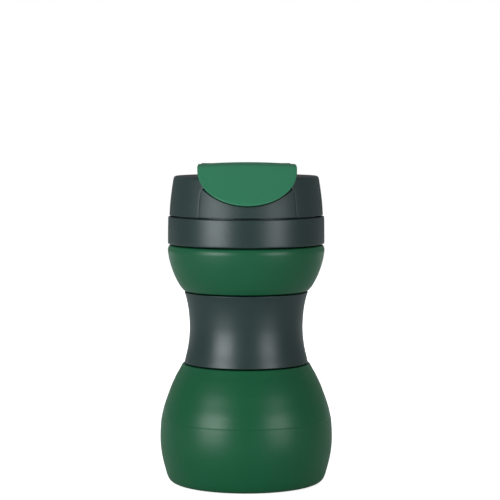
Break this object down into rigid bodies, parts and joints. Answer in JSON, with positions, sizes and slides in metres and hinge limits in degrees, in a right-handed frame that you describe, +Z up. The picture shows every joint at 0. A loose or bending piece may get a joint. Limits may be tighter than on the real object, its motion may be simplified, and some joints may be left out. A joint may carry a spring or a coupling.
{
  "type": "collapsible travel cup",
  "caption": "Collapsible silicone travel cup with an hourglass grip sleeve, screw lid, covered drinking spout and folding walls.",
  "frame": {"origin": "middle of the flat underside that the cup stands on", "axes": "+Z up along the cup's axis; -Y is the front, where one drinks; +X is the drinker's view of the right side as seen from the front"},
  "size_m": [0.0908, 0.0908, 0.1685],
  "materials": {
    "bottle_silicone": "matte green silicone",
    "dark_plastic": "satin dark grey-green moulded plastic",
    "flap_plastic": "matte green plastic",
    "seal_silicone": "soft green silicone",
    "pin_steel": "plain steel"
  },
  "bodies": {
    "base": {"silicone_base_cup": "bottle_silicone", "silicone_lower_shoulder": "bottle_silicone"},
    "grip": {"grip_sleeve": "dark_plastic", "silicone_waist_liner": "bottle_silicone", "silicone_upper_bulb": "bottle_silicone"},
    "collar": {"collar_ring": "dark_plastic", "neck_ring": "dark_plastic", "silicone_mouth_rim": "bottle_silicone"},
    "lid_seal": {"lid_gasket": "seal_silicone"},
    "lid": {"threaded_liner": "dark_plastic", "lid_shell": "dark_plastic", "spout_block": "dark_plastic", "hinge_pin": "pin_steel"},
    "flap": {"flap": "flap_plastic", "spout_stopper": "seal_silicone", "vent_plug": "seal_silicone"}
  },
  "joints": [
    {"name": "lower_collapse", "type": "slide", "parent": "base", "child": "grip", "axis": [0, 0, -1], "range_m": [0, 0.056], "deforming": ["silicone_lower_shoulder"]},
    {"name": "upper_collapse", "type": "slide", "parent": "grip", "child": "collar", "axis": [0, 0, -1], "range_m": [0, 0.022], "deforming": ["silicone_upper_bulb"]},
    {"name": "lid_lift", "type": "slide", "parent": "collar", "child": "lid_seal", "axis": [0, 0, 1], "range_m": [0, 0.0051]},
    {"name": "lid_turn", "type": "hinge", "parent": "lid_seal", "child": "lid", "pos_m": [0, 0, 0.145], "axis": [0, 0, 1], "range_deg": [0, 450]},
    {"name": "flap_hinge", "type": "hinge", "parent": "lid", "child": "flap", "pos_m": [0, 0.009, 0.1653], "axis": [-1, 0, 0], "range_deg": [0, 170]}
  ],
  "couplings": [
    {"joint": "lid_lift", "follows": "lid_turn", "m_per_rad": 0.00063662}
  ]
}
